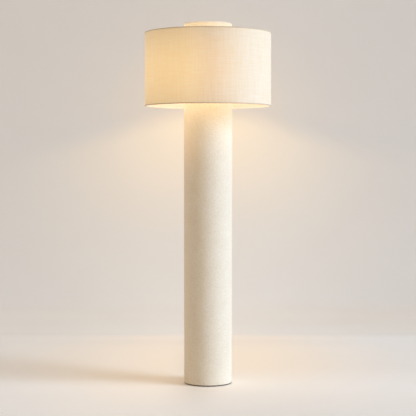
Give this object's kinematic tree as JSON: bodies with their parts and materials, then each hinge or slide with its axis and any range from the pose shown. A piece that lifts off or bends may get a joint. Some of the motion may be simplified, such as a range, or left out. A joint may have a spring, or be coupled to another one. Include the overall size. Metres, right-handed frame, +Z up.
{
  "type": "column floor lamp",
  "caption": "Floor lamp: a round textile-wrapped column on a weighted base carries a linen drum shade that lifts off, with a translucent cap standing out of the shade's top.",
  "frame": {"origin": "on the floor at the middle of the base", "axes": "+Z up along the column; +Y towards the back, where the cord inlet is; +X to the right seen from the front"},
  "size_m": [0.526, 0.526, 1.5],
  "materials": {
    "rubber": "matte black",
    "black_steel": "black powder coat",
    "zinc_steel": "zinc plated",
    "wood_board": "raw fibreboard",
    "ballast_iron": "raw casting",
    "tube_board": "wound board",
    "column_textile": "felted ivory textile",
    "skin_textile": "thin translucent ivory textile",
    "brass": "bright",
    "white_metal": "satin white powder coat",
    "porcelain": "glazed white",
    "opal_glass": "opal, lit",
    "lamp_cap_metal": "rolled thread",
    "translucent_sheet": "frosted",
    "shade_linen": "plain-weave linen, translucent",
    "binding_linen": "rolled linen edge"
  },
  "bodies": {
    "stand": {"floor_feet": "rubber", "base_plate": "black_steel", "base_screws": "zinc_steel", "base_disc": "wood_board", "ballast_lower": "ballast_iron", "ballast_upper": "ballast_iron", "cord_grommet": "rubber", "column_tube": "tube_board", "column_wrap": "column_textile", "middle_disc": "wood_board", "top_disc": "wood_board", "lamp_rod": "zinc_steel", "rod_nuts": "brass", "rod_washers": "zinc_steel", "head_plate": "white_metal", "cluster_body": "white_metal", "cluster_cover": "white_metal", "cluster_arms": "white_metal", "lamp_holders": "porcelain", "holder_inserts": "brass", "holder_contacts": "brass", "diffuser_bottom_ring": "white_metal", "diffuser_uprights": "white_metal", "diffuser_top_ring": "white_metal", "locating_pins": "zinc_steel", "head_screws": "zinc_steel", "diffuser_sheet": "translucent_sheet", "diffuser_fabric": "skin_textile"},
    "bulb_1": {"bulb_1_screw_cap": "lamp_cap_metal", "bulb_1_globe": "opal_glass"},
    "bulb_2": {"bulb_2_screw_cap": "lamp_cap_metal", "bulb_2_globe": "opal_glass"},
    "bulb_3": {"bulb_3_screw_cap": "lamp_cap_metal", "bulb_3_globe": "opal_glass"},
    "shade": {"shade_hub": "white_metal", "shade_spokes": "white_metal", "shade_top_wire": "white_metal", "shade_bottom_wire": "white_metal", "shade_liner": "translucent_sheet", "shade_linen": "shade_linen", "shade_top_binding": "binding_linen", "shade_bottom_binding": "binding_linen"},
    "cap": {"cap_ring": "white_metal", "cap_shell": "translucent_sheet", "cap_fabric": "skin_textile"}
  },
  "joints": [
    {"name": "shade_lift", "type": "slide", "parent": "stand", "child": "shade", "axis": [0, 0, 1], "range_m": [0, 0.32]},
    {"name": "cap_lift", "type": "slide", "parent": "shade", "child": "cap", "axis": [0, 0, 1], "range_m": [0, 0.08]},
    {"name": "bulb_1_out", "type": "slide", "parent": "stand", "child": "bulb_1", "axis": [0, 0, 1], "range_m": [0, 0.045]},
    {"name": "bulb_2_out", "type": "slide", "parent": "stand", "child": "bulb_2", "axis": [0, 0, 1], "range_m": [0, 0.045]},
    {"name": "bulb_3_out", "type": "slide", "parent": "stand", "child": "bulb_3", "axis": [0, 0, 1], "range_m": [0, 0.045]}
  ]
}
